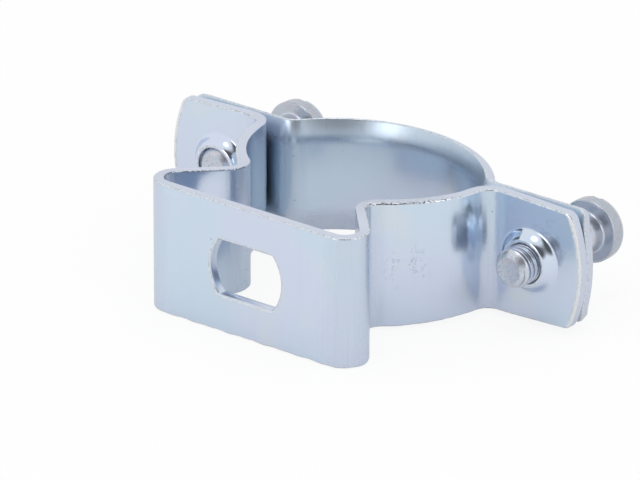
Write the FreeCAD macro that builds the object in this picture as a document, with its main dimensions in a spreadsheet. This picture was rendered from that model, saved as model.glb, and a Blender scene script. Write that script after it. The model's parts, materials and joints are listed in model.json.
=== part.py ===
# Spacer clamp: a folded front strap, a loose rear strap and two screws.
# Units are millimetres. X runs along the ears, -Y points to the wall, +Z runs along the pipe.
# The origin is on the ring's axis, in the plane of the plate's lower edge.
import FreeCAD
import Part
import Sketcher
import math
import os

# Driving dimensions
DIMENSIONS = {
    "strip_thickness": 1.3,
    "plate_height": 16.7,
    "front_ear_start_height": 15.5,
    "front_ear_end_height": 14.9,
    "rear_height": 14.3,
    "plate_standoff": 25.8,
    "plate_half_flat": 12.6,
    "corner_bend_radius": 2.3,
    "leg_lean": 42.0,
    "neck_bend_radius": 2.35,
    "ring_inner_radius": 16.0,
    "front_ear_bend_radius": 2.6,
    "front_ear_half_length": 31.1,
    "front_ear_end_radius": 17.0,
    "rear_inner_radius": 17.34,
    "rear_centre_forward": 8.91,
    "rear_ear_bend_radius": 3.0,
    "rear_ear_half_length": 30.55,
    "rear_ear_end_radius": 22.5,
    "ear_gap": 0.75,
    "rear_drop": 0.45,
    "ear_corner_radius": 1.3,
    "edge_round": 0.28,
    "flare_height": 3.8,
    "flare_reach": 0.74,
    "slot_length": 10.6,
    "slot_height": 7.0,
    "screw_offset": 23.55,
    "tapped_radius": 2.5,
    "collar_rim_radius": 3.05,
    "collar_height": 1.3,
    "collar_fillet": 1.05,
    "collar_rim_round": 0.25,
    "collar_lead_in": 0.2,
    "drawn_entry_radius": 0.5,
    "clearance_hole_radius": 3.0,
    "shank_radius": 2.43,
    "shank_length": 15.8,
    "tip_chamfer": 0.8,
    "head_radius": 4.02,
    "head_height": 2.95,
    "head_round": 1.6,
    "under_head_round": 0.3,
    "drive_slot_width": 1.2,
    "drive_slot_depth": 1.4,
    "right_tip_forward": 5.5,
    "left_tip_forward": 2.9,
    "right_droop": 0.95,
    "left_droop": 1.8,
}
# How far an outline that cuts or joins runs past the metal, and how closely edges are told apart
OVERCUT = 1.0
CLOSE = 0.05

doc = FreeCAD.newDocument("spacer_clamp")
sheet = doc.addObject("Spreadsheet::Sheet", "dimensions")
for row, (alias, value) in enumerate(DIMENSIONS.items(), start=1):
    sheet.set("A%d" % row, alias)
    sheet.set("B%d" % row, str(value))
    sheet.setAlias("B%d" % row, alias)
doc.recompute()


def dim(alias):
    """The value of one driving dimension."""
    return float(sheet.get(alias))


THICKNESS = dim("strip_thickness")
HALF_THICKNESS = THICKNESS / 2
MIDDLE = dim("plate_height") / 2
REAR_MIDDLE = MIDDLE - dim("rear_drop")


def vector(x, y):
    return FreeCAD.Vector(x, y, 0)


def new_body(name):
    """An empty body whose label is its node name."""
    body = doc.addObject("PartDesign::Body", name)
    body.Label = name
    return body


def new_sketch(body, role, name, offset=0.0):
    """A sketch on one of the body's own origin planes, moved along the plane's normal by offset."""
    sketch = body.newObject("Sketcher::SketchObject", name)
    plane = [item for item in body.Origin.OriginFeatures if item.Role == role][0]
    sketch.AttachmentSupport = [(plane, "")]
    sketch.MapMode = "FlatFace"
    sketch.AttachmentOffset = FreeCAD.Placement(FreeCAD.Vector(0, 0, offset), FreeCAD.Rotation())
    return sketch


def line(sketch, start, end):
    return sketch.addGeometry(Part.LineSegment(vector(*start), vector(*end)), False)


def arc(sketch, centre, radius, first, last):
    """An arc of a circle, counter-clockwise from the angle first to last, in degrees."""
    circle = Part.Circle(vector(*centre), FreeCAD.Vector(0, 0, 1), radius)
    return sketch.addGeometry(Part.ArcOfCircle(circle, math.radians(first), math.radians(last)), False)


def polygon(sketch, points):
    """A closed outline of straight lines with its corners joined."""
    count = len(points)
    first = sketch.GeometryCount
    for index, point in enumerate(points):
        line(sketch, point, points[(index + 1) % count])
    for index in range(count):
        following = first + (index + 1) % count
        sketch.addConstraint(Sketcher.Constraint("Coincident", first + index, 2, following, 1))


def bind(sketch, constraint, name, expression):
    """Adds a sized constraint and ties it to the sheet."""
    index = sketch.addConstraint(constraint)
    sketch.renameConstraint(index, name)
    sketch.setExpression("Constraints." + name, expression)


def angle_of(point, centre):
    return math.degrees(math.atan2(point[1] - centre[1], point[0] - centre[0]))


def on_circle(centre, radius, angle):
    turn = math.radians(angle)
    return (centre[0] + radius * math.cos(turn), centre[1] + radius * math.sin(turn))


def edges_where(shape, test):
    """Names of the edges that pass the test."""
    return ["Edge%d" % number for number, edge in enumerate(shape.Edges, start=1) if test(edge)]


def edge_fillet(body, base, edges, name, alias):
    """Rounds the named edges of a feature by a radius from the sheet."""
    fillet = body.newObject("PartDesign::Fillet", name)
    fillet.Base = (base, edges)
    fillet.Radius = dim(alias)
    fillet.setExpression("Radius", "dimensions." + alias)
    doc.recompute()
    return fillet


def pipe(body, section, path, name):
    """Sweeps a section along a path."""
    doc.recompute()
    sweep = body.newObject("PartDesign::AdditivePipe", name)
    sweep.Profile = section
    sweep.Spine = path
    doc.recompute()
    return sweep


def turned(body, sketch, axis_line, name):
    """Turns a sketch right round one of its own lines."""
    sketch.setConstruction(axis_line, True)
    doc.recompute()
    revolution = body.newObject("PartDesign::Revolution", name)
    revolution.Profile = sketch
    revolution.ReferenceAxis = (sketch, ["Axis0"])
    revolution.Angle = 360
    doc.recompute()
    return revolution


def through_pocket(body, sketch, name):
    """Cuts a sketch right through the body, both ways."""
    pocket = body.newObject("PartDesign::Pocket", name)
    pocket.Profile = sketch
    pocket.Type = "ThroughAll"
    pocket.Midplane = True
    doc.recompute()
    return pocket


def mirror_whole(body, name):
    """Adds the body's mirror image about its YZ plane."""
    mirrored = body.newObject("PartDesign::Mirrored", name)
    mirrored.TransformMode = "Whole shape"
    plane = [item for item in body.Origin.OriginFeatures if item.Role == "YZ_Plane"][0]
    mirrored.MirrorPlane = (plane, [""])
    body.Tip = mirrored
    doc.recompute()
    return mirrored


def screw_hole(body, name, level, radius, level_rule):
    """Cuts one round hole along Y through the ear, on the screw's line and at the height level."""
    sketch = new_sketch(body, "XZ_Plane", name + "_sketch")
    across = dim("screw_offset")
    circle = Part.Circle(vector(across, level), FreeCAD.Vector(0, 0, 1), dim(radius))
    index = sketch.addGeometry(circle, False)
    bind(sketch, Sketcher.Constraint("Radius", index, dim(radius)), "radius", "dimensions." + radius)
    bind(sketch, Sketcher.Constraint("DistanceX", -1, 1, index, 3, across), "offset",
         "dimensions.screw_offset")
    bind(sketch, Sketcher.Constraint("DistanceY", -1, 1, index, 3, level), "level", level_rule)
    return through_pocket(body, sketch, name)


def at_ear_end(edge, end):
    """Whether an edge lies in the bowed end of an ear that reaches out to end."""
    return edge.BoundBox.XMin > end - 3 * THICKNESS


def round_ear_end(body, name, end, radius, middle, half_height):
    """Cuts the ear's end to a bowed outline and rounds the two corners that this leaves."""
    sketch = new_sketch(body, "XZ_Plane", name + "_sketch")
    centre = (end - radius, middle)
    turn = math.degrees(math.asin((half_height + OVERCUT) / radius))
    low = on_circle(centre, radius, -turn)
    high = on_circle(centre, radius, turn)
    beyond = end + 2 * OVERCUT
    arc(sketch, centre, radius, -turn, turn)
    line(sketch, high, (beyond, high[1]))
    line(sketch, (beyond, high[1]), (beyond, low[1]))
    line(sketch, (beyond, low[1]), low)
    pocket = through_pocket(body, sketch, name)

    def is_corner(edge):
        box = edge.BoundBox
        across = abs(box.YLength - THICKNESS) < CLOSE and box.XLength < CLOSE and box.ZLength < CLOSE
        return at_ear_end(edge, end) and across

    corners = edges_where(pocket.Shape, is_corner)
    return edge_fillet(body, pocket, corners, name + "_corners", "ear_corner_radius")


def is_long_edge(edge):
    """Edges that run along a strip's upper and lower sides, and round the ear's end."""
    box = edge.BoundBox
    at_seam = box.XMax < CLOSE
    across = abs(edge.Length - THICKNESS) < 2 * CLOSE
    upright = box.XLength < CLOSE and box.YLength < CLOSE and box.ZLength > THICKNESS
    return not (at_seam or across or upright)


# Front strap: half its centre line, from the middle of the plate to the end of the right ear
front = new_body("front_strap")
path = new_sketch(front, "XY_Plane", "front_path")
ring_radius = dim("ring_inner_radius") + HALF_THICKNESS
plate_level = HALF_THICKNESS - dim("plate_standoff")
corner_radius = dim("corner_bend_radius")
neck_radius = dim("neck_bend_radius")
ear_bend = dim("front_ear_bend_radius")
lean = dim("leg_lean")
flat_end = (dim("plate_half_flat"), plate_level)
corner_centre = (flat_end[0], plate_level + corner_radius)
leg_start = on_circle(corner_centre, corner_radius, lean)
leg_way = (-math.sin(math.radians(lean)), math.cos(math.radians(lean)))
# The neck's centre lies beside the leg by its own radius, and outside the ring's circle by the same
beside = on_circle(corner_centre, corner_radius + neck_radius, lean)
along = beside[0] * leg_way[0] + beside[1] * leg_way[1]
excess = beside[0] ** 2 + beside[1] ** 2 - (ring_radius + neck_radius) ** 2
leg_length = -along - math.sqrt(along ** 2 - excess)
neck_centre = (beside[0] + leg_length * leg_way[0], beside[1] + leg_length * leg_way[1])
leg_end = (leg_start[0] + leg_length * leg_way[0], leg_start[1] + leg_length * leg_way[1])
ear_level = -HALF_THICKNESS
bend_height = ear_level - ear_bend
bend_centre = (math.sqrt((ring_radius + ear_bend) ** 2 - bend_height ** 2), bend_height)
neck_angle = angle_of(neck_centre, (0, 0))
bend_angle = angle_of(bend_centre, (0, 0))
front_end = dim("front_ear_half_length")

plate_line = line(path, (0, plate_level), flat_end)
corner_arc = arc(path, corner_centre, corner_radius, -90, lean)
leg_line = line(path, leg_start, leg_end)
neck_arc = arc(path, neck_centre, neck_radius, neck_angle + 180, lean + 180)
ring_arc = arc(path, (0, 0), ring_radius, neck_angle, bend_angle)
bend_arc = arc(path, bend_centre, ear_bend, 90, bend_angle + 180)
ear_line = line(path, (bend_centre[0], ear_level), (front_end + OVERCUT, ear_level))
for constraint in (
    ("Horizontal", plate_line),
    ("Horizontal", ear_line),
    ("PointOnObject", plate_line, 1, -2),
    ("Coincident", ring_arc, 3, -1, 1),
    ("Tangent", plate_line, 2, corner_arc, 1),
    ("Tangent", corner_arc, 2, leg_line, 1),
    ("Tangent", leg_line, 2, neck_arc, 2),
    ("Tangent", neck_arc, 1, ring_arc, 1),
    ("Tangent", ring_arc, 2, bend_arc, 2),
    ("Tangent", bend_arc, 1, ear_line, 1),
):
    path.addConstraint(Sketcher.Constraint(*constraint))
bind(path, Sketcher.Constraint("DistanceY", plate_line, 1, -1, 1, -plate_level), "standoff",
     "dimensions.plate_standoff - dimensions.strip_thickness / 2")
bind(path, Sketcher.Constraint("DistanceX", plate_line, 1, plate_line, 2, flat_end[0]), "plate_flat",
     "dimensions.plate_half_flat")
bind(path, Sketcher.Constraint("Radius", corner_arc, corner_radius), "corner",
     "dimensions.corner_bend_radius")
bind(path, Sketcher.Constraint("Angle", leg_line, math.radians(90 + lean)), "lean",
     "(90 + dimensions.leg_lean) * 1 deg")
bind(path, Sketcher.Constraint("Radius", neck_arc, neck_radius), "neck", "dimensions.neck_bend_radius")
bind(path, Sketcher.Constraint("Radius", ring_arc, ring_radius), "ring",
     "dimensions.ring_inner_radius + dimensions.strip_thickness / 2")
bind(path, Sketcher.Constraint("Radius", bend_arc, ear_bend), "ear_bend", "dimensions.front_ear_bend_radius")
bind(path, Sketcher.Constraint("DistanceY", ear_line, 1, -1, 1, -ear_level), "ear_level",
     "dimensions.strip_thickness / 2")
bind(path, Sketcher.Constraint("DistanceX", -1, 1, ear_line, 2, front_end + OVERCUT), "ear_reach",
     "dimensions.front_ear_half_length + %g" % OVERCUT)

section = new_sketch(front, "YZ_Plane", "front_section")
low_y = plate_level - HALF_THICKNESS
high_y = plate_level + HALF_THICKNESS
top = dim("plate_height")
polygon(section, [(low_y, 0), (high_y, 0), (high_y, top), (low_y, top)])
pipe(front, section, path, "front_sweep")

# The strip narrows evenly from the plate to the ears, above and below, and a little more along the ears
taper_sketch = new_sketch(front, "YZ_Plane", "front_taper_sketch")
taper_start = -dim("plate_standoff") + 2 * THICKNESS
taper_end = -4 * THICKNESS
drop = (dim("plate_height") - dim("front_ear_start_height")) / 2
for level, way in ((top, 1), (0, -1)):
    polygon(taper_sketch, [
        (taper_start, level),
        (taper_end, level - way * drop),
        (OVERCUT, level - way * drop),
        (OVERCUT, level + way * OVERCUT),
        (taper_start, level + way * OVERCUT),
    ])
through_pocket(front, taper_sketch, "front_taper")

ear_taper_sketch = new_sketch(front, "XZ_Plane", "front_ear_taper_sketch")
ear_start = bend_centre[0] + THICKNESS
ear_past = front_end + 2 * OVERCUT
end_drop = (dim("front_ear_start_height") - dim("front_ear_end_height")) / 2
past_drop = drop + end_drop * (ear_past - ear_start) / (front_end - ear_start)
for level, way in ((top, 1), (0, -1)):
    polygon(ear_taper_sketch, [
        (ear_start, level - way * drop),
        (ear_past, level - way * past_drop),
        (ear_past, level + way * OVERCUT),
        (ear_start, level + way * OVERCUT),
    ])
through_pocket(front, ear_taper_sketch, "front_ear_taper")

front_outline = round_ear_end(front, "front_ear_end", front_end, dim("front_ear_end_radius"), MIDDLE,
                              dim("front_ear_end_height") / 2)
front_edges = edges_where(front_outline.Shape, is_long_edge)
edge_fillet(front, front_outline, front_edges, "front_edges", "edge_round")

# Drawn and tapped collar on the front of the ear
collar_sketch = new_sketch(front, "XY_Plane", "collar_sketch", MIDDLE)
axis_x = dim("screw_offset")
bore_line = axis_x + dim("tapped_radius") - HALF_THICKNESS / 2
rim = axis_x + dim("collar_rim_radius")
foot_fillet = dim("collar_fillet")
foot = rim + foot_fillet
face = -THICKNESS
inside = -HALF_THICKNESS
crest = face - dim("collar_height")
rim_round = dim("collar_rim_round")
line(collar_sketch, (bore_line, inside), (bore_line, crest))
line(collar_sketch, (bore_line, crest), (rim - rim_round, crest))
arc(collar_sketch, (rim - rim_round, crest + rim_round), rim_round, -90, 0)
arc(collar_sketch, (foot, face - foot_fillet), foot_fillet, 90, 180)
line(collar_sketch, (foot, face), (foot, inside))
line(collar_sketch, (foot, inside), (bore_line, inside))
collar_axis = line(collar_sketch, (axis_x, crest), (axis_x, inside))
turned(front, collar_sketch, collar_axis, "collar")
tapped = screw_hole(front, "tapped_hole", MIDDLE, "tapped_radius", "dimensions.plate_height / 2")


def is_hole_rim(edge, level):
    """The circle where the screw's hole meets a level along Y."""
    box = edge.BoundBox
    flat = abs(box.YMin - level) < CLOSE and abs(box.YMax - level) < CLOSE
    return flat and abs(box.XLength - 2 * dim("tapped_radius")) < CLOSE


entry_edges = edges_where(tapped.Shape, lambda edge: is_hole_rim(edge, 0.0))
entry = edge_fillet(front, tapped, entry_edges, "drawn_entry", "drawn_entry_radius")
lead_edges = edges_where(entry.Shape, lambda edge: is_hole_rim(edge, crest))
lead_in = front.newObject("PartDesign::Chamfer", "collar_lead_in")
lead_in.Base = (entry, lead_edges)
lead_in.Size = dim("collar_lead_in")
lead_in.setExpression("Size", "dimensions.collar_lead_in")
doc.recompute()
mirror_whole(front, "front_mirror")

# Slot in the mounting plate: a circle cut by two flats
slot_sketch = new_sketch(front, "XZ_Plane", "slot_sketch")
slot_radius = dim("slot_length") / 2
half_slot = dim("slot_height") / 2
flat_angle = math.degrees(math.asin(half_slot / slot_radius))
half_flat = slot_radius * math.cos(math.radians(flat_angle))
arc(slot_sketch, (0, MIDDLE), slot_radius, -flat_angle, flat_angle)
line(slot_sketch, (half_flat, MIDDLE + half_slot), (-half_flat, MIDDLE + half_slot))
arc(slot_sketch, (0, MIDDLE), slot_radius, 180 - flat_angle, 180 + flat_angle)
line(slot_sketch, (-half_flat, MIDDLE - half_slot), (half_flat, MIDDLE - half_slot))
through_pocket(front, slot_sketch, "mounting_slot")

# Rear strap: half its centre line, from the middle of the back to the end of the right ear
rear = new_body("rear_strap")
rear_centre = (0, -dim("rear_centre_forward"))
rear_radius = dim("rear_inner_radius") + HALF_THICKNESS
rear_bend = dim("rear_ear_bend_radius")
rear_level = dim("ear_gap") + HALF_THICKNESS
rear_bend_y = rear_level + rear_bend
rear_rise = rear_bend_y - rear_centre[1]
rear_bend_centre = (math.sqrt((rear_radius + rear_bend) ** 2 - rear_rise ** 2), rear_bend_y)
rear_angle = angle_of(rear_bend_centre, rear_centre)
rear_half = dim("rear_height") / 2
rear_end = dim("rear_ear_half_length")

rear_path = new_sketch(rear, "XY_Plane", "rear_path")
back_arc = arc(rear_path, rear_centre, rear_radius, rear_angle, 90)
side_arc = arc(rear_path, rear_bend_centre, rear_bend, rear_angle + 180, 270)
side_line = line(rear_path, (rear_bend_centre[0], rear_level), (rear_end + OVERCUT, rear_level))
for constraint in (
    ("PointOnObject", back_arc, 3, -2),
    ("PointOnObject", back_arc, 2, -2),
    ("Tangent", back_arc, 1, side_arc, 1),
    ("Tangent", side_arc, 2, side_line, 1),
    ("Horizontal", side_line),
):
    rear_path.addConstraint(Sketcher.Constraint(*constraint))
bind(rear_path, Sketcher.Constraint("Radius", back_arc, rear_radius), "back",
     "dimensions.rear_inner_radius + dimensions.strip_thickness / 2")
bind(rear_path, Sketcher.Constraint("DistanceY", back_arc, 3, -1, 1, -rear_centre[1]), "centre_forward",
     "dimensions.rear_centre_forward")
bind(rear_path, Sketcher.Constraint("Radius", side_arc, rear_bend), "ear_bend",
     "dimensions.rear_ear_bend_radius")
bind(rear_path, Sketcher.Constraint("DistanceY", -1, 1, side_line, 1, rear_level), "ear_level",
     "dimensions.ear_gap + dimensions.strip_thickness / 2")
bind(rear_path, Sketcher.Constraint("DistanceX", -1, 1, side_line, 2, rear_end + OVERCUT), "ear_reach",
     "dimensions.rear_ear_half_length + %g" % OVERCUT)


def flare_arc(sketch, wall, edge, start):
    """One bent-out side of the section: an arc that leaves the wall upright and ends at the edge."""
    reach = dim("flare_reach")
    rise = edge - start
    radius = (reach ** 2 + rise ** 2) / (2 * reach)
    centre = (wall + radius, start)
    angles = sorted([180.0, angle_of((wall + reach, edge), centre) % 360])
    return arc(sketch, centre, radius, angles[0], angles[1])


# Its section is straight in the middle and bent out to the back at both edges
rear_section = new_sketch(rear, "YZ_Plane", "rear_section")
rear_low = REAR_MIDDLE - rear_half
rear_high = REAR_MIDDLE + rear_half
inner_wall = rear_centre[1] + dim("rear_inner_radius")
flat_low = rear_low + dim("flare_height")
flat_high = rear_high - dim("flare_height")
for wall in (inner_wall, inner_wall + THICKNESS):
    line(rear_section, (wall, flat_low), (wall, flat_high))
    flare_arc(rear_section, wall, rear_low, flat_low)
    flare_arc(rear_section, wall, rear_high, flat_high)
rim_start = inner_wall + dim("flare_reach")
for edge_level in (rear_low, rear_high):
    line(rear_section, (rim_start, edge_level), (rim_start + THICKNESS, edge_level))
pipe(rear, rear_section, rear_path, "rear_sweep")
rear_outline = round_ear_end(rear, "rear_ear_end", rear_end, dim("rear_ear_end_radius"), REAR_MIDDLE,
                             rear_half)


def is_rear_edge(edge):
    """Edges that run along the rear strap's upper and lower sides, and round its ear's end."""
    box = edge.BoundBox
    near_rim = abs(box.ZMin - rear_high) < CLOSE or abs(box.ZMax - rear_low) < CLOSE
    return (near_rim or at_ear_end(edge, rear_end)) and is_long_edge(edge)


rear_edges = edges_where(rear_outline.Shape, is_rear_edge)
edge_fillet(rear, rear_outline, rear_edges, "rear_edges", "edge_round")
screw_hole(rear, "clearance_hole", REAR_MIDDLE, "clearance_hole_radius",
           "dimensions.plate_height / 2 - dimensions.rear_drop")
mirror_whole(rear, "rear_mirror")


def make_screw(name, x, tip_forward, droop):
    """A slotted screw along Y, its tip forward of the ears, hanging down at its head by the angle droop."""
    body = new_body(name)
    sketch = new_sketch(body, "XY_Plane", name + "_profile", MIDDLE)
    tip = -tip_forward
    under = tip + dim("shank_length")
    crown = under + dim("head_height")
    shank = dim("shank_radius")
    chamfer = dim("tip_chamfer")
    neck_round = dim("under_head_round")
    head = dim("head_radius")
    head_round = dim("head_round")
    line(sketch, (x, tip), (x + shank - chamfer, tip))
    line(sketch, (x + shank - chamfer, tip), (x + shank, tip + chamfer))
    line(sketch, (x + shank, tip + chamfer), (x + shank, under - neck_round))
    arc(sketch, (x + shank + neck_round, under - neck_round), neck_round, 90, 180)
    line(sketch, (x + shank + neck_round, under), (x + head - neck_round, under))
    arc(sketch, (x + head - neck_round, under + neck_round), neck_round, -90, 0)
    line(sketch, (x + head, under + neck_round), (x + head, crown - head_round))
    arc(sketch, (x + head - head_round, crown - head_round), head_round, 0, 90)
    line(sketch, (x + head - head_round, crown), (x, crown))
    line(sketch, (x, crown), (x, tip))
    screw_axis = line(sketch, (x, tip - OVERCUT), (x, crown + OVERCUT))
    turned(body, sketch, screw_axis, name + "_turned")
    slot = new_sketch(body, "XY_Plane", name + "_slot", MIDDLE)
    half_width = dim("drive_slot_width") / 2
    bottom = crown - dim("drive_slot_depth")
    polygon(slot, [
        (x - half_width, bottom),
        (x + half_width, bottom),
        (x + half_width, crown + OVERCUT),
        (x - half_width, crown + OVERCUT),
    ])
    through_pocket(body, slot, name + "_drive_slot")
    tilt = FreeCAD.Rotation(FreeCAD.Vector(1, 0, 0), -droop)
    pivot = FreeCAD.Vector(x, face, MIDDLE)
    body.Placement = FreeCAD.Placement(FreeCAD.Vector(0, 0, 0), tilt, pivot)
    return body


right_screw = make_screw("right_screw", axis_x, dim("right_tip_forward"), dim("right_droop"))
left_screw = make_screw("left_screw", -axis_x, dim("left_tip_forward"), dim("left_droop"))

# Checks and export
doc.recompute()
for item in doc.Objects:
    faults = [word for word in item.State if word in ("Invalid", "Error")]
    if faults:
        raise RuntimeError("%s is %s" % (item.Name, faults))
os.makedirs("parts", exist_ok=True)
for body in (front, rear, right_screw, left_screw):
    shape = body.Shape
    if shape.isNull() or not shape.isValid() or len(shape.Solids) != 1:
        raise RuntimeError("%s has no single valid solid" % body.Label)
    shape.exportStep("parts/%s.step" % body.Label)
    box = shape.BoundBox
    print("%s volume %.1f box x %.2f %.2f y %.2f %.2f z %.2f %.2f" % (
        body.Label, shape.Volume, box.XMin, box.XMax, box.YMin, box.YMax, box.ZMin, box.ZMax))
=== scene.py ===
"""Looks of the spacer clamp: two folded zinc plated straps and two slotted screws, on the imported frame.

Lengths are metres. X runs along the ears, -Y points to the wall and +Z runs along the pipe.
"""
import json
import math

import bmesh
import bpy
import numpy as np
from bpy.props import FloatProperty, FloatVectorProperty, PointerProperty
from mathutils import Matrix, Vector


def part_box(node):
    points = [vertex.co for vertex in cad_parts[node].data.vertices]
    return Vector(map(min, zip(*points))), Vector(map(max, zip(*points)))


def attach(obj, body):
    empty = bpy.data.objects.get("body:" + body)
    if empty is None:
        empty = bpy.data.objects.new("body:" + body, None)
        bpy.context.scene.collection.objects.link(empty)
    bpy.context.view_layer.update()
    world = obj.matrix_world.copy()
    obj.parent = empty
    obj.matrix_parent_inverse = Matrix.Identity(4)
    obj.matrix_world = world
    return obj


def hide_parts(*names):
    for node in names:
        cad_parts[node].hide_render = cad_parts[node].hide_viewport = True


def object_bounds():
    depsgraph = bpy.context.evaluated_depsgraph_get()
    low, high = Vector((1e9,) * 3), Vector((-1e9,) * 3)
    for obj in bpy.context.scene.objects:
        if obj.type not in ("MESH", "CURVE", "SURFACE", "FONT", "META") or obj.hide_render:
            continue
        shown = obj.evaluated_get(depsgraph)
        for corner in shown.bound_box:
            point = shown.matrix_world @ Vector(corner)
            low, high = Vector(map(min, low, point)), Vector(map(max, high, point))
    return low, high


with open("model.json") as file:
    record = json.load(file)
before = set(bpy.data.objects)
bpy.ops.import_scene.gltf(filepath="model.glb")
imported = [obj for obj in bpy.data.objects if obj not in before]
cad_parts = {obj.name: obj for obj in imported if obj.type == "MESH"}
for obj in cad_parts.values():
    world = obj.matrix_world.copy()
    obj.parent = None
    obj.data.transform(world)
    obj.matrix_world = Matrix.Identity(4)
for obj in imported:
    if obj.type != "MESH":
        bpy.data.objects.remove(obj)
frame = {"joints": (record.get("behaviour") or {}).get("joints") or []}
CAD_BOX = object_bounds()

bl_info = {
    "name": "Spacer clamp",
    "version": (1, 0, 0),
    "blender": (4, 5, 0),
    "location": "View3D > Sidebar > Clamp",
    "description": "Builds the straps, screws and stage of a zinc plated spacer clamp on its frame",
    "category": "Add Mesh",
}

MM = 0.001
IMAGE_WIDTH = 640
FRONT_LOW, FRONT_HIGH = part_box("front_strap")
REAR_LOW, REAR_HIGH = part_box("rear_strap")
MIDDLE = (FRONT_LOW.z + FRONT_HIGH.z) / 2
REAR_MIDDLE = (REAR_LOW.z + REAR_HIGH.z) / 2
SCREW_NAMES = ("left_screw", "right_screw")
SCREW_JOINTS = {joint["child"]: joint for joint in frame["joints"] if joint["child"] in SCREW_NAMES}
SCREW_OFFSET = SCREW_JOINTS["right_screw"]["pos_m"][0]


def length(name, description, value):
    """A size property in metres."""
    return FloatProperty(name=name, description=description, default=value, min=0.0, precision=5,
                         unit="LENGTH")


def angle(name, description, degrees):
    """An angle property, its default given in degrees."""
    return FloatProperty(name=name, description=description, default=math.radians(degrees), subtype="ANGLE",
                         unit="ROTATION")


def colour(name, description, value):
    """A colour property."""
    return FloatVectorProperty(name=name, description=description, default=value, size=3, min=0.0, max=1.0,
                               subtype="COLOR")


class FrontStrapSizes(bpy.types.PropertyGroup):
    """Sizes of the folded front strap."""

    thickness: length("Thickness", "Thickness of the strip", 1.3 * MM)
    plate_half_flat: length("Plate flat", "Half the flat of the mounting plate", 12.6 * MM)
    corner_radius: length("Corner bend", "Centre line radius of the foot's corners", 2.3 * MM)
    neck_radius: length("Neck bend", "Centre line radius of the neck's bends", 2.35 * MM)
    ring_radius: length("Ring", "Inner radius of the arcs", 16.0 * MM)
    ear_bend_radius: length("Ear bend", "Centre line radius of the ear bends", 2.6 * MM)
    leg_lean: angle("Leg lean", "Lean of the legs towards the neck", 42.0)
    ear_drop: length("Ear drop", "Narrowing of each edge where the ears begin", 0.6 * MM)
    end_drop: length("End drop", "Further narrowing of each edge along the ears", 0.3 * MM)
    end_radius: length("Ear end", "Radius of the bowed ear ends", 17.0 * MM)
    corner_round: length("Ear corner", "Corner radius of the ears", 1.3 * MM)
    slot_length: length("Slot length", "Length of the mounting slot", 10.6 * MM)
    slot_height: length("Slot height", "Height of the mounting slot between its flats", 7.0 * MM)
    hole_radius: length("Tapped hole", "Radius of the tapped holes", 2.5 * MM)
    collar_foot: length("Collar foot", "Radius of the drawn collars where they leave the ears", 4.3 * MM)
    collar_height: length("Collar height", "How far the collars stand out", 1.3 * MM)
    collar_rim: length("Collar rim", "Radius of the collars' rounded inner edges", 0.15 * MM)
    entry_radius: length("Collar entry", "Radius where the holes enter from the back", 0.5 * MM)


class RearStrapSizes(bpy.types.PropertyGroup):
    """Sizes of the loose rear strap."""

    thickness: length("Thickness", "Thickness of the strip", 1.3 * MM)
    arc_radius: length("Arc", "Inner radius of the arc", 17.34 * MM)
    arc_centre: length("Arc centre", "How far the arc's centre lies in front of the ring's", 8.91 * MM)
    ear_bend_radius: length("Ear bend", "Centre line radius of the ear bends", 3.0 * MM)
    ear_gap: length("Ear gap", "Gap between the ears of the two straps", 0.75 * MM)
    flare_bend: length("Flare bend", "Radius of the crease at the foot of the flared edges", 2.4 * MM)
    flare_curve: length("Flare curve", "Radius of the flared edges above the crease", 10.1 * MM)
    flare_crease: angle("Flare crease", "Lean of the flared edges after the crease", 13.0)
    flare_lean: angle("Flare lean", "Lean of the flared edges at their ends", 25.0)
    rim_lift: length("Rim lift", "How far the upper edge's inner corner stands up", 0.45 * MM)
    end_radius: length("Ear end", "Radius of the bowed ear ends", 22.5 * MM)
    corner_round: length("Ear corner", "Corner radius of the ears", 1.3 * MM)
    hole_radius: length("Clearance hole", "Radius of the screws' holes", 3.0 * MM)


class ScrewSizes(bpy.types.PropertyGroup):
    """Sizes of the two slotted screws."""

    thread_radius: length("Thread", "Outer radius of the thread", 2.43 * MM)
    thread_depth: length("Thread depth", "Depth of the thread's grooves", 0.36 * MM)
    pitch: length("Pitch", "Distance between neighbouring turns", 0.8 * MM)
    shank: length("Shank", "Length of the shank", 15.8 * MM)
    tip_chamfer: length("Tip chamfer", "Chamfer at the tip", 0.8 * MM)
    left_tip: length("Left tip", "How far the left tip stands before its turning point", 1.6 * MM)
    right_tip: length("Right tip", "How far the right tip stands before its turning point", 4.2 * MM)
    head_radius: length("Head", "Radius of the head", 4.0 * MM)
    head_height: length("Head height", "Height of the head", 2.93 * MM)
    head_round: length("Head round", "Radius of the head's outer edge", 1.6 * MM)
    neck_round: length("Neck round", "Radius under the head and at its lower edge", 0.3 * MM)
    slot_width: length("Drive slot width", "Width of the drive slot", 1.2 * MM)
    slot_depth: length("Drive slot depth", "Depth of the drive slot", 1.4 * MM)


class FinishColours(bpy.types.PropertyGroup):
    """Colours of the plating and the stage."""

    zinc: colour("Zinc", "Main colour of the plated straps", (0.61, 0.715, 0.83))
    lavender: colour("Lavender tint", "Tint that drifts over the straps", (0.635, 0.70, 0.835))
    straw: colour("Straw tint", "Warm tint that drifts over the straps", (0.67, 0.725, 0.78))
    cut_edge: colour("Cut edge", "Metal of the sheared edges", (0.57, 0.61, 0.72))
    # A painted highlight: a bright line along the rolled-over edges and round the hole rims
    rolled_edge_highlight: colour("Rolled edge", "Bright line along the rolled-over edges", (0.82, 0.82, 0.80))
    screw: colour("Screw", "Main colour of the plated screws", (0.59, 0.65, 0.73))
    screw_tint: colour("Screw tint", "Warm tint of the screws", (0.63, 0.61, 0.68))
    # Also the painted shade in the screws' thread grooves
    speck_and_shade: colour("Speck", "Dark specks and pits in the plating", (0.10, 0.12, 0.14))
    floor: colour("Floor", "Colour of the floor", (0.96, 0.96, 0.96))


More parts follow.
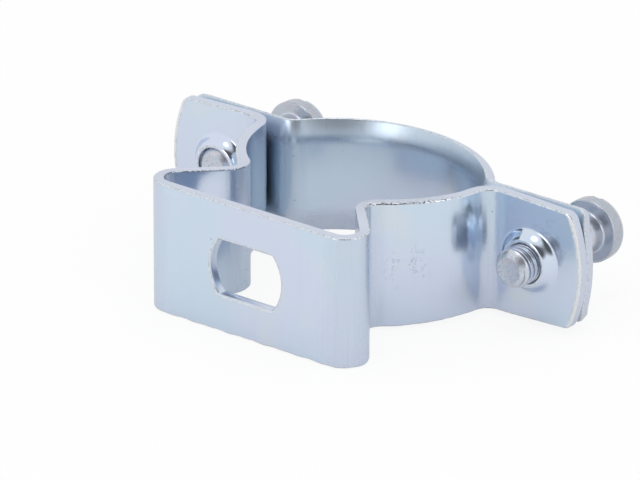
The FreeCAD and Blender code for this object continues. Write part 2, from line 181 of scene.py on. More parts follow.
class ClampSettings(bpy.types.PropertyGroup):
    """All that a user may change on the clamp."""

    front: PointerProperty(type=FrontStrapSizes)
    rear: PointerProperty(type=RearStrapSizes)
    screws: PointerProperty(type=ScrewSizes)
    finish: PointerProperty(type=FinishColours)


# Surfaces

# A bend of this radius is marked in full, and the mark is averaged over this distance to both sides
MARKED_BEND = 2 * MM
BEND_SPREAD = 0.8 * MM
BEND_SAMPLES = 9
# Points closer than this are one, and faces thinner than a sliver go
MERGE = 0.0005 * MM
SLIVER = 0.0001 * MM


class BentStrip:
    """Half of a strip's centre line in plan, mirrored about x = 0.

    The line is a row of runs, each with a length and a total turn to the left that is spread evenly over it.
    A point at distance d into a run lies from the run's start by a chord of d times the sine of half its turn
    over half its turn, in the direction halfway between the two headings.
    """

    def __init__(self, start, runs):
        lengths = np.array([run[0] for run in runs])
        turns = np.array([run[1] for run in runs])
        self.knots = np.concatenate([[0.0], np.cumsum(lengths)])
        self.bend = turns / lengths
        self.heading = np.concatenate([[0.0], np.cumsum(turns)])
        chords = lengths * np.sinc(turns / (2 * np.pi))
        middle = self.heading[:-1] + turns / 2
        self.x = start[0] + np.concatenate([[0.0], np.cumsum(chords * np.cos(middle))])
        self.y = start[1] + np.concatenate([[0.0], np.cumsum(chords * np.sin(middle))])

    def run_at(self, along):
        """The number of the run at each distance from the middle."""
        return np.clip(np.searchsorted(self.knots, np.abs(along), side="right") - 1, 0, len(self.bend) - 1)

    def place(self, along, offset):
        """Plan points at signed distances along the strip, moved to the left of the path by offset."""
        run = self.run_at(along)
        step = np.abs(along) - self.knots[run]
        turn = self.bend[run] * step
        chord = step * np.sinc(turn / (2 * np.pi))
        middle = self.heading[run] + turn / 2
        heading = self.heading[run] + turn
        x = self.x[run] + chord * np.cos(middle) - offset * np.sin(heading)
        y = self.y[run] + chord * np.sin(middle) + offset * np.cos(heading)
        return np.where(along < 0, -x, x), y

    def bending(self, along):
        """How sharply the strip bends around each distance, as a share of the bend that is marked in full."""
        around = np.asarray(along)[..., None] + np.linspace(-1.0, 1.0, BEND_SAMPLES) * BEND_SPREAD
        return np.clip(np.abs(self.bend[self.run_at(around)]).mean(axis=-1) * MARKED_BEND, 0.0, 1.0)

    def along_at(self, x):
        """The distance along the last run, a straight ear, at a position along X."""
        return self.knots[-2] + x - self.x[-2]


def grid_quads(rows, columns):
    """Corner numbers of a grid's quads, its points counted row by row."""
    number = np.arange(rows * columns).reshape(rows, columns)
    corners = [number[:-1, :-1], number[1:, :-1], number[1:, 1:], number[:-1, 1:]]
    return np.stack(corners, axis=-1).reshape(-1, 4)


class Skin:
    """Grids of points that together close round one piece, with marks at each point for the materials."""

    def __init__(self, marks):
        self.points = []
        self.quads = []
        self.marks = {name: [] for name in marks}
        self.count = 0

    def add(self, x, y, z, **marks):
        """Adds one grid. Marks and coordinates are spread to the grid's shape."""
        x, y, z = np.broadcast_arrays(x, y, z)
        self.points.append(np.stack([x, y, z], axis=-1).reshape(-1, 3))
        self.quads.append(grid_quads(*x.shape) + self.count)
        for name, rows in self.marks.items():
            rows.append(np.broadcast_to(marks.get(name, 0.0), x.shape).reshape(-1))
        self.count += x.size

    def piece(self, name, node, slot, material, sharp):
        """Makes the mesh, closes its seams, turns its faces outwards and puts it on the node's body."""
        mesh = bpy.data.meshes.new(name)
        mesh.from_pydata(np.concatenate(self.points).tolist(), [], np.concatenate(self.quads).tolist())
        for mark, rows in self.marks.items():
            values = np.concatenate(rows).astype(np.float32)
            mesh.attributes.new(mark, "FLOAT", "POINT").data.foreach_set("value", values)
        work = bmesh.new()
        work.from_mesh(mesh)
        bmesh.ops.remove_doubles(work, verts=work.verts, dist=MERGE)
        bmesh.ops.dissolve_degenerate(work, edges=work.edges, dist=SLIVER)
        bmesh.ops.recalc_face_normals(work, faces=work.faces)
        work.to_mesh(mesh)
        work.free()
        mesh.shade_smooth()
        mesh.set_sharp_from_angle(angle=sharp)
        mesh.materials.append(material)
        piece = bpy.data.objects.new(name, mesh)
        bpy.context.scene.collection.objects.link(piece)
        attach(piece, node)
        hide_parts(node)
        return piece


# An edge's own grid reaches this far into the face, with a short flat beside each round
EDGE_REACH = 1.0 * MM
SUPPORT = 0.05 * MM
# Rounds of the edges and rims, as width on the face and depth across; the near side is the rolled-over one
FRONT_NEAR_EDGE = (0.28 * MM, 0.25 * MM)
FRONT_FAR_EDGE = (0.14 * MM, 0.14 * MM)
FRONT_END_WIDTH = 0.65 * MM
REAR_NEAR_EDGE = (0.2 * MM, 0.2 * MM)
REAR_FAR_EDGE = (0.26 * MM, 0.26 * MM)
REAR_END_WIDTH = 0.35 * MM
SLOT_NEAR_RIM = (0.4 * MM, 0.22 * MM)
HOLE_NEAR_RIM = (0.15 * MM, 0.15 * MM)
FAR_RIM = (0.1 * MM, 0.1 * MM)
# Marks at a hole, by the gap from its wall: the sheared wall, the rim's painted highlight and the start of a
# drawn face
WALL_GAP = 0.12 * MM
WALL_SHEAR = 0.5
RIM_GAP = 0.25 * MM
RIM_WIDTH = 0.15 * MM
DRAWN_START = 0.6 * MM
# An edge's painted highlight has this strength, and rises to 1 at the ends over this share of the corner's
# radius
HIGHLIGHT_STRENGTH = 0.5
HIGHLIGHT_RISE = 0.6
# The plate's wavy lower edge: its mean height, its two wave lengths per radian and the long wave's phase
RIPPLE = 0.07 * MM
RIPPLE_SHORT = 0.55 * MM
RIPPLE_LONG = 2.3 * MM
RIPPLE_PHASE = 0.6
# The front strap narrows from so many thicknesses behind its plate's face to so many before the ring's axis
TAPER_START = 2
TAPER_END = 4
# The front ears stop narrowing this far before their ends, and their pierced faces start this far before them
EAR_TAPER_STOP = 3 * MM
FRONT_PIERCED_LEAD = 1.2 * MM
# The rear ears' pierced faces start this far along them, and the flare's mark fades over this height
REAR_PIERCED_START = 2.2 * MM
FLARE_FADE = 2 * MM
# Steps along the front strap: half the plate; corner, leg, neck, arc and ear bend; the bend's end and the ear
PLATE_STEPS = 30
FRONT_BEND_STEPS = (28, 10, 24, 34, 14)
FRONT_EAR_STEPS = (6, 26)
# Steps along the rear strap: half the arc, ear bend and ear's start; the rest of the ear
REAR_BEND_STEPS = (44, 14, 4)
REAR_EAR_STEPS = 30
# Steps across the faces and round the curves
ROWS = 30
ROUND_STEPS = 6
CORNER_STEPS = 8
BOW_STEPS = 24
HOLE_STEPS = 9
HOLE_CROWDING = 1.5
COLLAR_STEPS = 24
STRAP_MARKS = ("sheared", "rolled", "broken", "bent", "drawn")
STRAP_SHARP = math.radians(50)


def quarter():
    """Angles of a quarter turn."""
    return np.linspace(0.0, np.pi / 2, ROUND_STEPS + 1)


def spread(stops, counts):
    """Stations from each stop to the next in a count of even steps."""
    parts = [np.linspace(start, end, steps + 1)[:-1] for start, end, steps in zip(stops, stops[1:], counts)]
    return np.concatenate([*parts, [stops[-1]]])


def pairs(along, level):
    """Points of a flat outline from distances along the strip and levels, either of them a single value."""
    return np.stack(np.broadcast_arrays(along, level), axis=-1)


def closed(*sides):
    """Joins sides that each end where the next begins into one closed outline."""
    return np.concatenate([*[side[:-1] for side in sides], sides[0][:1]])


class EdgeProfile:
    """A strip's edge from its right face round to its left face, as insets from the outline and offsets.

    Each corner is a quarter ellipse, as wide and as deep as given, the near one wider at the strip's ends. A
    short flat beside it keeps the face's shading flat. The straight part between the two is the sheared face.
    """

    def __init__(self, thickness, near, far, end_width):
        turn = quarter()
        half = thickness / 2
        near_offset = near[1] * (1 - np.cos(turn)) - half
        far_offset = half - far[1] * (1 - np.sin(turn))
        self.offset = np.concatenate([[-half, -half], near_offset, far_offset, [half, half]])
        far_inset = np.concatenate([far[0] * (1 - np.cos(turn)), [far[0] + SUPPORT, EDGE_REACH]])
        self.inset, self.end_inset = [
            np.concatenate([[EDGE_REACH, width + SUPPORT], width * (1 - np.sin(turn)), far_inset])
            for width in (near[0], end_width)]
        deep = np.sin(turn)
        self.sheared = np.concatenate([[0.0, 0.0], deep ** 2, deep[::-1] ** 2, [0.0, 0.0]])
        self.rolled = np.concatenate([[0.0, 0.0], np.sin(2 * turn), np.zeros(len(turn)), [0.0, 0.0]])
        self.broken = self.rolled[::-1]


class Blank:
    """The flat outline of a strap before it is bent: long edges, and bowed ends with rounded corners."""

    def __init__(self, edges, middle, end, end_radius, corner_round):
        self.edges = edges
        self.middle = middle
        self.end_radius = end_radius
        self.corner_round = corner_round
        low, high = edges(np.array(end))
        self.rise = float(high - low) / 2 - corner_round
        self.bow_centre = end - end_radius
        self.lean = math.asin(self.rise / (end_radius - corner_round))
        self.corner_at = self.bow_centre + (end_radius - corner_round) * math.cos(self.lean)

    def end_outline(self, inset, end_inset):
        """The right end from top to bottom: corner arc, bow and corner arc.

        It is moved in by inset where it meets the long edges and by end_inset on the bow.
        """
        corner = np.linspace(0.0, 1.0, CORNER_STEPS + 1)
        upper = np.pi / 2 + (self.lean - np.pi / 2) * corner
        bow = np.linspace(self.lean, -self.lean, BOW_STEPS + 1)[1:-1]
        small = self.corner_round - inset - (end_inset - inset) * corner
        large = self.end_radius - end_inset
        out = small * np.cos(upper)
        up = small * np.sin(upper)
        along = np.concatenate([self.corner_at + out, self.bow_centre + large * np.cos(bow),
                                self.corner_at + out[..., ::-1]], axis=-1)
        level = np.concatenate([self.rise + up, large * np.sin(bow), -self.rise - up[..., ::-1]], axis=-1)
        return along, self.middle + level

    def perimeter(self, stations, profile):
        """The closed outline, moved in by each of the profile's insets.

        It goes along the upper edge, down the right end, back along the lower edge and up the left end.
        """
        out = np.concatenate([-stations[::-1], stations[1:]])
        low, high = self.edges(out)
        inset = profile.inset[:, None]
        end_along, end_level = [part[:, 1:-1] for part in self.end_outline(inset, profile.end_inset[:, None])]
        out = np.broadcast_to(out, (len(inset), len(out)))
        top = high - inset
        back = slice(None, None, -1)
        along = [out, end_along, out[:, back], -end_along[:, back], out[:, :1]]
        level = [top, end_level, (low + inset)[:, back], end_level[:, back], top[:, :1]]
        return np.concatenate(along, axis=1), np.concatenate(level, axis=1)

    def rows(self, along):
        """Levels of the face rows at each distance along the strip, between the rounded edges."""
        low, high = self.edges(np.asarray(along))
        share = np.linspace(0.0, 1.0, ROWS + 1)
        return (low + EDGE_REACH)[..., None] + (high - low - 2 * EDGE_REACH)[..., None] * share


class HoleProfile:
    """The way from the right face's outline through a hole to the left face's outline.

    The near and far rims are gaps from the hole's wall and offsets across. Shares run from 1 at the outline
    to 0 at the rim, closer together near it.
    """

    def __init__(self, near, far):
        before = np.ones(HOLE_STEPS)
        shares = np.linspace(1.0, 0.0, HOLE_STEPS + 1)[:-1] ** HOLE_CROWDING
        self.gap, self.offset = [
            np.concatenate([near_side[0] * before, near_side, far_side, far_side[-1] * before])
            for near_side, far_side in zip(near, far)]
        self.share = np.concatenate([shares, np.zeros(len(near[0]) + len(far[0])), shares[::-1]])
        number = np.arange(len(self.gap))
        in_rim = (number >= HOLE_STEPS) & (number < HOLE_STEPS + len(near[0]))
        self.sheared = WALL_SHEAR * ((self.share == 0.0) & (self.gap < WALL_GAP))
        # A ring of painted highlight round the rim, at a set gap from the wall
        self.rolled = in_rim * np.clip(1 - np.abs(self.gap - RIM_GAP) / RIM_WIDTH, 0.0, 1.0)
        self.drawn = in_rim * np.clip((near[0][0] - self.gap) / DRAWN_START, 0.0, 1.0)


def rim_profile(size, level, side):
    """A quarter ellipse from the face at level into the hole, as gaps and offsets.

    Its size is its width on the face and its depth. Side is +1 on the left face and -1 on the right one.
    """
    width, depth = size
    turn = quarter()
    gap = np.concatenate([[width + SUPPORT], width * (1 - np.sin(turn))])
    offset = np.concatenate([[level], level - side * depth * (1 - np.cos(turn))])
    if side > 0:
        return gap[::-1], offset[::-1]
    return gap, offset


def collar_profile(sizes):
    """A drawn collar from the ear's front face to its bore, as gaps and offsets.

    It rises like a low volcano, by a smooth step of the way in, to a crest beside the bore, and then turns
    into it with a small round.
    """
    turn = quarter()
    face = -sizes.thickness / 2
    crest = face - sizes.collar_height
    rim = sizes.collar_rim
    foot = sizes.collar_foot - sizes.hole_radius
    way = np.linspace(0.0, 1.0, COLLAR_STEPS + 1)
    rise = way ** 3 * (10 - 15 * way + 6 * way ** 2)
    gap = np.concatenate([foot + (rim - foot) * way, rim * (1 - np.sin(turn[1:]))])
    offset = np.concatenate([face + (crest - face) * rise, crest + rim * (1 - np.cos(turn[1:]))])
    return gap, offset


class Strap:
    """A strap's skin: bends, faces with holes and edges, from its blank and its bent centre line."""

    def __init__(self, strip, blank, thickness, section=None):
        self.strip = strip
        self.blank = blank
        self.half = thickness / 2
        self.section = section
        self.skin = Skin(STRAP_MARKS)

    def add(self, along, level, offset, **marks):
        """Bends one flat grid into its place."""
        bent = self.strip.bending(along)
        if self.section is not None:
            level, offset, flared = self.section(level, offset)
            bent = bent + flared * (1 - bent)
        x, y = self.strip.place(along, offset)
        self.skin.add(x, y, level, bent=bent, **marks)

    def add_bends(self, stations):
        """Both faces of both sides over a stretch without holes."""
        levels = self.blank.rows(stations)
        along = np.broadcast_to(stations[:, None], levels.shape)
        for side in (-1.0, 1.0):
            for offset in (-self.half, self.half):
                self.add(side * along, levels, np.full(levels.shape, offset))

    def add_edges(self, stations, profile):
        """The edge all round the blank. Its front corner's mark carries a painted highlight, strongest at the
        ends.
        """
        along, level = self.blank.perimeter(stations, profile)
        offset = np.broadcast_to(profile.offset[:, None], along.shape)
        past = np.abs(along) - self.blank.corner_at
        at_end = np.clip(past / (HIGHLIGHT_RISE * self.blank.corner_round), 0.0, 1.0)
        # The rolled mark, which carries the painted highlight, rises to full towards the ends
        line = HIGHLIGHT_STRENGTH + (1 - HIGHLIGHT_STRENGTH) * at_end
        self.add(along, level, offset, sheared=profile.sheared[:, None], broken=profile.broken[:, None],
                 rolled=profile.rolled[:, None] * line)

    def add_pierced(self, outline, rim, outward, profile, sides=(1.0,)):
        """A face with a hole on each of the sides, which are +1 at positive X and -1 mirrored.

        Each point lies off the hole's rim by a gap along outward, then goes a share of the way to the
        outline.
        """
        wall = rim[:, None, :] + outward[:, None, :] * profile.gap[None, :, None]
        flat = wall + (outline[:, None, :] - wall) * profile.share[None, :, None]
        offset = np.broadcast_to(profile.offset, flat.shape[:2])
        for side in sides:
            self.add(side * flat[..., 0], flat[..., 1], offset, sheared=profile.sheared,
                     rolled=profile.rolled, drawn=profile.drawn)

    def add_ears(self, stations, radius, level, profile):
        """Both ears, each a face with a round hole where the screw goes."""
        start = stations[0]
        low, high = self.blank.edges(stations)
        outline = closed(pairs(start, self.blank.rows(start)), pairs(stations, high - EDGE_REACH),
                         pairs(*self.blank.end_outline(EDGE_REACH, EDGE_REACH)),
                         pairs(stations, low + EDGE_REACH)[::-1])
        centre = np.array([self.strip.along_at(SCREW_OFFSET), level])
        outward = outline - centre
        outward = outward / np.linalg.norm(outward, axis=1, keepdims=True)
        self.add_pierced(outline, centre + outward * radius, outward, profile, (-1.0, 1.0))


def slot_rim(half_length, half_height, across, upright):
    """The slot's rim, a circle cut by two flats, and the way out of the hole at each of its points.

    It goes along the upper flat, down the right arc, back along the lower flat and up the left arc.
    """
    lean = math.asin(half_height / half_length)
    flat = half_length * math.cos(lean)
    arc = np.linspace(lean, -lean, upright + 1)[:-1]
    around = pairs(np.cos(arc), np.sin(arc))
    upper = pairs(np.linspace(-flat, flat, across + 1)[:-1], half_height)
    half_rim = np.concatenate([upper, half_length * around])
    half_out = np.concatenate([pairs(np.zeros(across), 1.0), around])
    rim = np.concatenate([half_rim, -half_rim, half_rim[:1]])
    outward = np.concatenate([half_out, -half_out, half_out[:1]])
    return rim, outward


def front_strip(sizes):
    """The front strap's centre line: plate, corner, leg, neck, ring arc, ear bend and ear.

    The neck's centre lies beside the leg by the neck's radius, and outside the ring's circle by the same.
    """
    half = sizes.thickness / 2
    ring = sizes.ring_radius + half
    lean = sizes.leg_lean
    level = FRONT_LOW.y + half
    corner = np.array([sizes.plate_half_flat, level + sizes.corner_radius])
    sideways = np.array([math.cos(lean), math.sin(lean)])
    forward = np.array([-math.sin(lean), math.cos(lean)])
    beside = corner + (sizes.corner_radius + sizes.neck_radius) * sideways
    along = float(beside @ forward)
    excess = float(beside @ beside) - (ring + sizes.neck_radius) ** 2
    leg = -along - math.sqrt(along ** 2 - excess)
    neck = beside + leg * forward
    neck_angle = math.atan2(neck[1], neck[0])
    bend_level = -half - sizes.ear_bend_radius
    bend_angle = math.asin(bend_level / (ring + sizes.ear_bend_radius))
    bend_at = (ring + sizes.ear_bend_radius) * math.cos(bend_angle)
    corner_turn = np.pi / 2 + lean
    neck_turn = neck_angle + np.pi / 2 - corner_turn
    ring_turn = bend_angle - neck_angle
    bend_turn = -(bend_angle + np.pi / 2)
    return BentStrip((0.0, level), [
        (sizes.plate_half_flat, 0.0),
        (sizes.corner_radius * corner_turn, corner_turn),
        (leg, 0.0),
        (-sizes.neck_radius * neck_turn, neck_turn),
        (ring * ring_turn, ring_turn),
        (-sizes.ear_bend_radius * bend_turn, bend_turn),
        (FRONT_HIGH.x - bend_at, 0.0),
    ])


def rear_strip(sizes):
    """The rear strap's centre line: half the back arc, the ear bend and the ear."""
    half = sizes.thickness / 2
    arc = sizes.arc_radius + half
    level = sizes.ear_gap + half
    rise = level + sizes.ear_bend_radius + sizes.arc_centre
    turn = math.acos(rise / (arc + sizes.ear_bend_radius))
    bend_at = (arc + sizes.ear_bend_radius) * math.sin(turn)
    return BentStrip((0.0, arc - sizes.arc_centre), [
        (arc * turn, -turn),
        (sizes.ear_bend_radius * turn, turn),
        (REAR_HIGH.x - bend_at, 0.0),
    ])


def build_front_strap(sizes, material):
    """The folded front strap with its slot and drawn collars."""
    strip = front_strip(sizes)
    plate_end, corner_end, leg_end, neck_end, arc_end, bend_end, end = strip.knots[1:]
    half = sizes.thickness / 2
    taper_start = FRONT_LOW.y + TAPER_START * sizes.thickness
    taper_end = -TAPER_END * sizes.thickness
    ear_start = bend_end + sizes.thickness

    def edges(along):
        """Lower and upper edge: the strip narrows evenly with Y up to the ears, then along them.

        The lower edge is a little wavy at the plate, by the product of a short and a long wave, and less so
        towards the ears.
        """
        out = np.abs(along)
        y = strip.place(along, 0.0)[1]
        share = np.clip((y - taper_start) / (taper_end - taper_start), 0.0, 1.0)
        ear_share = np.clip((out - ear_start) / (end - EAR_TAPER_STOP - ear_start), 0.0, 1.0)
        drop = sizes.ear_drop * share + sizes.end_drop * ear_share
        wave = np.sin(out / RIPPLE_SHORT) * np.sin(out / RIPPLE_LONG + RIPPLE_PHASE)
        return FRONT_LOW.z + drop + RIPPLE * (1 + wave) * (1 - share), FRONT_HIGH.z - drop

    blank = Blank(edges, MIDDLE, end, sizes.end_radius, sizes.corner_round)
    pierced_from = bend_end - FRONT_PIERCED_LEAD
    plate = np.linspace(0.0, plate_end, PLATE_STEPS + 1)
    bends = spread([plate_end, corner_end, leg_end, neck_end, arc_end, pierced_from], FRONT_BEND_STEPS)
    ear = spread([pierced_from, bend_end, blank.corner_at], FRONT_EAR_STEPS)
    strap = Strap(strip, blank, sizes.thickness)
    strap.add_bends(bends)
    edge = EdgeProfile(sizes.thickness, FRONT_NEAR_EDGE, FRONT_FAR_EDGE, FRONT_END_WIDTH)
    strap.add_edges(np.concatenate([plate, bends[1:], ear[1:]]), edge)

    across = np.concatenate([-plate[::-1], plate[1:]])
    low, high = edges(across)
    levels = blank.rows(plate_end)
    outline = closed(pairs(across, high - EDGE_REACH), pairs(plate_end, levels[::-1]),
                     pairs(across, low + EDGE_REACH)[::-1], pairs(-plate_end, levels))
    rim, outward = slot_rim(sizes.slot_length / 2, sizes.slot_height / 2, len(across) - 1, ROWS)
    punched = HoleProfile(rim_profile(SLOT_NEAR_RIM, -half, -1), rim_profile(FAR_RIM, half, 1))
    strap.add_pierced(outline, rim + np.array([0.0, MIDDLE]), outward, punched)

    entry = rim_profile((sizes.entry_radius, sizes.entry_radius), half, 1)
    strap.add_ears(ear, sizes.hole_radius, MIDDLE, HoleProfile(collar_profile(sizes), entry))
    return strap.skin.piece("front_strap_skin", "front_strap", "zinc_strap", material, STRAP_SHARP)


def build_rear_strap(sizes, material):
    """The rear strap with its flared edges and clearance holes."""
    strip = rear_strip(sizes)
    arc_end, bend_end, end = strip.knots[1:]
    half = sizes.thickness / 2
    near_round = REAR_NEAR_EDGE[0]
    lean = sizes.flare_lean
    crease = sizes.flare_crease
    crease_length = sizes.flare_bend * crease
    flare_length = crease_length + sizes.flare_curve * (lean - crease)
    flare_rise = sizes.flare_bend * math.sin(crease) + sizes.flare_curve * (math.sin(lean) - math.sin(crease))
    corner_rise = half * math.sin(lean) - near_round * (math.sin(lean) + math.cos(lean) - 1)
    middle = REAR_MIDDLE + sizes.rim_lift / 2
    flat_half = REAR_HIGH.z + sizes.rim_lift - middle - flare_rise - corner_rise

    def edges(along):
        """Lower and upper edge before the flare is bent."""
        reach = np.full(np.shape(along), flat_half + flare_length)
        return middle - reach, middle + reach

    def section(level, offset):
        """Bends both edges to the back: an upright wall, the crease's arc, then a wider arc up to the edge.

        Gives the level, the offset, and the share by which the bending has roughened the metal.
        """
        height = np.abs(level - middle)
        beyond = np.clip(height - flat_half, 0.0, None)
        near = np.clip(0.5 + (height - flat_half) / FLARE_FADE, 0.0, 1.0)
        flared = near ** 2 * (3 - 2 * near)
        first = np.minimum(beyond, crease_length) / sizes.flare_bend
        last = first + np.clip(beyond - crease_length, 0.0, None) / sizes.flare_curve
        rise = sizes.flare_bend * np.sin(first) + sizes.flare_curve * (np.sin(last) - np.sin(first))
        reach = sizes.flare_bend * (1 - np.cos(first)) + sizes.flare_curve * (np.cos(first) - np.cos(last))
        height = np.minimum(height, flat_half) + rise - offset * np.sin(last)
        return middle + np.sign(level - middle) * height, reach + offset * np.cos(last), flared

    blank = Blank(edges, middle, end, sizes.end_radius, sizes.corner_round)
    pierced_from = bend_end + REAR_PIERCED_START
    bends = spread([0.0, arc_end, bend_end, pierced_from], REAR_BEND_STEPS)
    ear = np.linspace(pierced_from, blank.corner_at, REAR_EAR_STEPS + 1)
    strap = Strap(strip, blank, sizes.thickness, section)
    strap.add_bends(bends)
    edge = EdgeProfile(sizes.thickness, REAR_NEAR_EDGE, REAR_FAR_EDGE, REAR_END_WIDTH)
    strap.add_edges(np.concatenate([bends, ear[1:]]), edge)
    drilled = HoleProfile(rim_profile(HOLE_NEAR_RIM, -half, -1), rim_profile(FAR_RIM, half, 1))
    strap.add_ears(ear, sizes.hole_radius, REAR_MIDDLE, drilled)
    return strap.skin.piece("rear_strap_skin", "rear_strap", "zinc_strap", material, STRAP_SHARP)


# Half the width of a groove and the width of its flanks, as shares of the pitch
# The groove runs out over this length, and as much of the shank after it is plain
GROOVE_HALF = 0.25
GROOVE_FLANK = 0.2
RUN_OUT = 1.6 * MM
# How round the tip's chamfer is, where 1 is a cone, and how deep the end is dished
TIP_BOW = 1.3
TIP_DISH = 0.12 * MM
# Steps of the grids: per pitch, round the head's sides and slot, along the chords, over the two flat faces
PITCH_STEPS = 14
SIDE_STEPS = 26
SLOT_STEPS = 5
CHORD_STEPS = 40
BEARING_STEPS = 7
END_STEPS = 8
SCREW_MARKS = ("groove", "radial", "end")
SCREW_SHARP = math.radians(40)


class ScrewSkin:
    """A screw's skin, turned about its own axis, which hangs a little down towards the head.

    A point is the turning point, plus its distance along the axis, plus its offsets across along X and up at
    right angles to both.
    """

    def __init__(self, joint):
        self.pivot = joint["pos_m"]
        self.axis = joint["axis"]
        self.skin = Skin(SCREW_MARKS)

    def add(self, across, up, along, **marks):
        """Adds one grid of offsets across and up and distances along."""
        y = self.pivot[1] + self.axis[1] * along - self.axis[2] * up
        z = self.pivot[2] + self.axis[2] * along + self.axis[1] * up
        self.skin.add(self.pivot[0] + across, y, z, **marks)

    def add_turned(self, turn, radius, along, **marks):
        """Adds a surface of revolution: a radius for each distance along."""
        self.add(radius * np.cos(turn), radius * np.sin(turn), along, **marks)


def add_thread(screw, sizes, turn, tip, end):
    """The threaded shank. Its rows climb against the turn by one pitch, so that the thread is right-handed.

    A row's level is kept between the tip and the end. Its radius is the crest's less a rounded groove, which
    runs out before the end, held under the tip's chamfer, which falls off by a power of the way to the tip.
    """
    crest = sizes.thread_radius
    count = (int((end - tip) / sizes.pitch) + 2) * PITCH_STEPS
    number = np.arange(count + 1)
    level = tip + (number[:, None] / PITCH_STEPS - turn / (2 * np.pi)) * sizes.pitch
    level = np.clip(level, tip, end)
    phase = (number % PITCH_STEPS) / PITCH_STEPS
    depth = np.clip((GROOVE_HALF - np.abs(phase - 0.5)) / GROOVE_FLANK, 0.0, 1.0)[:, None]
    groove = depth ** 2 * (3 - 2 * depth) * np.clip((end - level) / RUN_OUT - 1.0, 0.0, 1.0)
    at_tip = np.clip(1 - (level - tip) / sizes.tip_chamfer, 0.0, 1.0)
    chamfer = crest - sizes.tip_chamfer * at_tip ** TIP_BOW
    cut = crest - sizes.thread_depth * groove
    radius = np.minimum(cut, chamfer)
    screw.add_turned(turn, radius, level, groove=groove * (cut < chamfer), end=at_tip,
                     radial=radius / sizes.head_radius)
    end_share = np.linspace(1.0, 0.0, END_STEPS + 1)[:, None]
    end_radius = (crest - sizes.tip_chamfer) * end_share
    dish = TIP_DISH * (1 - end_share ** 2)
    screw.add_turned(turn, end_radius, tip + dish, end=1.0, radial=end_radius / sizes.head_radius)


def add_head(screw, sizes, side, turn, under):
    """The head: a rounded neck, a flat bearing face, a low side and a domed top with a drive slot.

    The top is a grid of chords. Its level is the flat crown's, less a quarter circle near the rim, and inside
    the slot no higher than the slot's floor, so the chord at each slot wall is there twice.
    """
    bend = quarter()
    round_low = sizes.neck_round
    head = sizes.head_radius
    crown = under + sizes.head_height
    shoulder = crown - sizes.head_round
    neck = sizes.thread_radius + round_low * (1 - np.cos(bend))
    flat = np.linspace(sizes.thread_radius + round_low, head - round_low, BEARING_STEPS + 1)[1:-1]
    lower = head - round_low + round_low * np.sin(bend)
    radius = np.concatenate([neck, flat, lower, [head]])
    along = np.concatenate([under - round_low * (1 - np.sin(bend)), np.full(len(flat), under),
                            under + round_low * (1 - np.cos(bend)), [shoulder]])
    screw.add_turned(turn, radius[:, None], along[:, None], radial=radius[:, None] / head)

    half_slot = sizes.slot_width / 2
    chord = np.concatenate([side[side >= half_slot - MERGE], side[np.abs(side) <= half_slot + MERGE],
                            side[side <= MERGE - half_slot]])
    in_slot = np.zeros(len(chord))
    in_slot[SIDE_STEPS + 1:-SIDE_STEPS - 1] = 1.0
    share = np.sin(np.linspace(-np.pi / 2, np.pi / 2, CHORD_STEPS + 1))
    across = chord[:, None]
    up = np.sqrt(np.clip(head ** 2 - across ** 2, 0.0, None)) * share
    out = np.clip(np.hypot(across, up) - (head - sizes.head_round), 0.0, sizes.head_round)
    dome = shoulder + np.sqrt(sizes.head_round ** 2 - out ** 2)
    floor = np.where(in_slot[:, None] > 0, crown - sizes.slot_depth, crown)
    screw.add(across, up, np.minimum(dome, floor), radial=np.hypot(across, up) / head)


def build_screw(name, sizes, tip_reach, material):
    """One slotted screw on its turning axis."""
    screw = ScrewSkin(SCREW_JOINTS[name])
    wall = math.acos(sizes.slot_width / 2 / sizes.head_radius)
    half_turn = spread([0.0, wall, np.pi - wall, np.pi], (SIDE_STEPS, SLOT_STEPS, SIDE_STEPS))
    turn = np.concatenate([half_turn, np.pi + half_turn[1:]])
    under = sizes.shank - tip_reach
    add_thread(screw, sizes, turn, -tip_reach, under - sizes.neck_round)
    add_head(screw, sizes, sizes.head_radius * np.cos(half_turn), turn, under)
    return screw.skin.piece(name + "_skin", name, "zinc_screw", material, SCREW_SHARP)


# Materials

# Where edges are worn and faces are scuffed, how far from there it reaches, and the share where it is full
ARC_EDGE = (12.6 * MM, -12.0 * MM, 16.5 * MM)
LEG_EDGE = (-11.5 * MM, -20.0 * MM, 16.5 * MM)
EDGE_WEAR_REACH = 8 * MM
ARC_SCUFF = (13.1 * MM, -11.4 * MM, 8.0 * MM)
EAR_SCUFF = (27.0 * MM, -1.3 * MM, 12.0 * MM)
SCUFF_REACH = 4 * MM
SPOT_CORE = 0.4
# Sizes of the patterns in the straps' plating
DRIFT_SIZE = 12 * MM
WARM_SIZE = 7 * MM
WEAR_SIZE = 6 * MM
PATCH_SIZE = 4 * MM
PIT_SPACING = 2.6 * MM
TEAR_SIZE = 1.8 * MM
SCRATCH_SIZE = 1.1 * MM
PEEL_SIZE = 0.6 * MM
STREAK_WIDTH = 0.5 * MM
UPRIGHT_STRETCH = (1.0, 1.0, 0.02)
SPECKLE_SIZE = 0.22 * MM
GRAIN_SIZE = 0.17 * MM
# Depths of its relief
EDGE_DEPTH = 0.02 * MM
PIT_DEPTH = 0.01 * MM
PEEL_DEPTH = 0.003 * MM
GRAIN_DEPTH = 0.003 * MM
SCRATCH_DEPTH = 0.003 * MM
STREAK_DEPTH = 0.0025 * MM
# Sizes and depths on the screws
MOTTLE_SIZE = 0.9 * MM
MOTTLE_DEPTH = 0.012 * MM
SCREW_SPECKLE_SIZE = 0.15 * MM
SCREW_SPECKLE_DEPTH = 0.002 * MM
END_SPECKLE_DEPTH = 0.04 * MM
RIM_SPECKLE_DEPTH = 0.012 * MM
SCREW_METALLIC = 0.85


